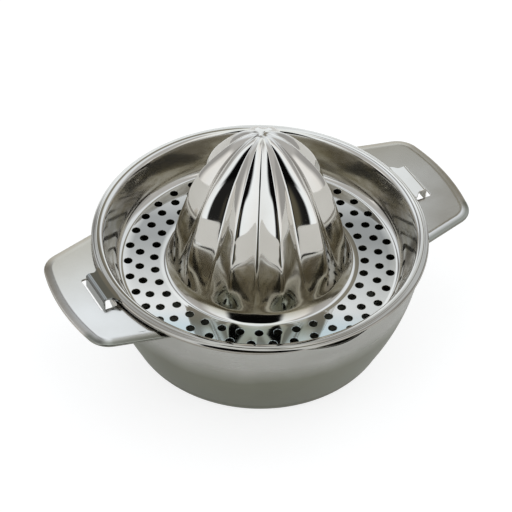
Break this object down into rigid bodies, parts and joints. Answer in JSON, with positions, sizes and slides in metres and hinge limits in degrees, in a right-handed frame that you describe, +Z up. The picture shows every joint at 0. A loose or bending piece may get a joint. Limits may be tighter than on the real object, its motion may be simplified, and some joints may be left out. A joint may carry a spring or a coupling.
{
  "type": "citrus juicer",
  "caption": "Hand citrus juicer in pressed steel: a handled bowl with a pouring lip carries a lift-off perforated strainer with a fluted reaming cone.",
  "frame": {"origin": "middle of the bowl's base, on the table", "axes": "+Z up along the bowl's and the cone's axis, X along the two handles, -Y towards the pouring lip"},
  "size_m": [0.1764, 0.136, 0.1019],
  "materials": {
    "satin_steel": "satin-polished stainless steel sheet",
    "plate_steel": "polished stainless steel sheet",
    "mirror_steel": "mirror-polished stainless steel sheet"
  },
  "bodies": {
    "bowl_body": {"bowl": "satin_steel", "handle_right": "plate_steel", "handle_left": "plate_steel"},
    "strainer_body": {"strainer_dish": "mirror_steel", "reamer_cone": "mirror_steel"}
  },
  "joints": [
    {"name": "strainer_lift", "type": "slide", "parent": "bowl_body", "child": "strainer_body", "axis": [0, 0, 1], "range_m": [0, 0.03]}
  ]
}
